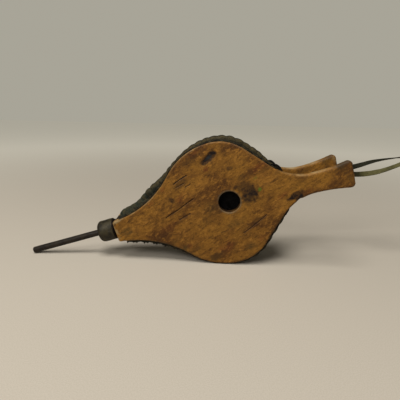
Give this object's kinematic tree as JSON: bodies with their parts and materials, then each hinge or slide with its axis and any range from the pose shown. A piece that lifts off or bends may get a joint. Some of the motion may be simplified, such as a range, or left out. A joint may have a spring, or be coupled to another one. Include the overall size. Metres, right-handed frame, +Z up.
{
  "type": "fireside hand bellows",
  "caption": "Pear-shaped wooden hand bellows with a folded leather skirt over a wire hoop, a flap valve, an iron ferrule and nozzle tube, and a leather hanging thong.",
  "frame": {"origin": "on the ground below the middle of the bellows without its thong, as it stands on its board edges and nozzle tip", "axes": "+X from the nozzle towards the handles, +Y from the front board to the back board, +Z up"},
  "size_m": [0.6494, 0.0751, 0.1961],
  "materials": {
    "board_wood": "old oiled hardwood, worn and stained",
    "block_wood": "bare darkened wood",
    "iron": "dark oxidised iron",
    "leather": "dry dark leather",
    "thong_leather": "grey-green stiff leather lace"
  },
  "bodies": {
    "back": {"back_board": "board_wood", "nose_block": "block_wood", "block_screws": "iron", "ferrule": "iron", "ferrule_pins": "iron", "nozzle_tube": "iron", "hinge_block_leaf": "leather", "back_welt": "leather", "back_tacks": "iron", "thong_inner_strand": "thong_leather", "thong_outer_strand": "thong_leather", "thong_knot": "thong_leather"},
    "hoop": {"wire_hoop": "iron", "hoop_ties": "leather", "skirt_back_panel": "leather", "skirt_front_panel": "leather"},
    "front": {"front_board": "board_wood", "front_welt": "leather", "front_tacks": "iron", "hinge_board_leaf": "leather", "hinge_tacks": "iron", "flap_strip": "leather", "flap_strip_tacks": "iron"},
    "valve": {"valve_flap": "leather", "valve_disc": "block_wood", "valve_rivets": "iron"}
  },
  "joints": [
    {"name": "hoop_hinge", "type": "hinge", "parent": "back", "child": "hoop", "pos_m": [-0.10031, 0.0055, 0.04702], "axis": [0.2898, 0, -0.9571], "range_deg": [-2.25, 8.75], "deforming": ["skirt_back_panel"]},
    {"name": "board_hinge", "type": "hinge", "parent": "hoop", "child": "front", "pos_m": [-0.10031, 0.0055, 0.04702], "axis": [0.2898, 0, -0.9571], "range_deg": [-2.25, 8.75], "deforming": ["skirt_front_panel"]},
    {"name": "flap_hinge", "type": "hinge", "parent": "front", "child": "valve", "pos_m": [0.06047, -0.00888, 0.12653], "axis": [0.9541, -0.0785, 0.289], "range_deg": [0, 12]}
  ],
  "couplings": [
    {"joint": "board_hinge", "follows": "hoop_hinge", "ratio": 1}
  ]
}
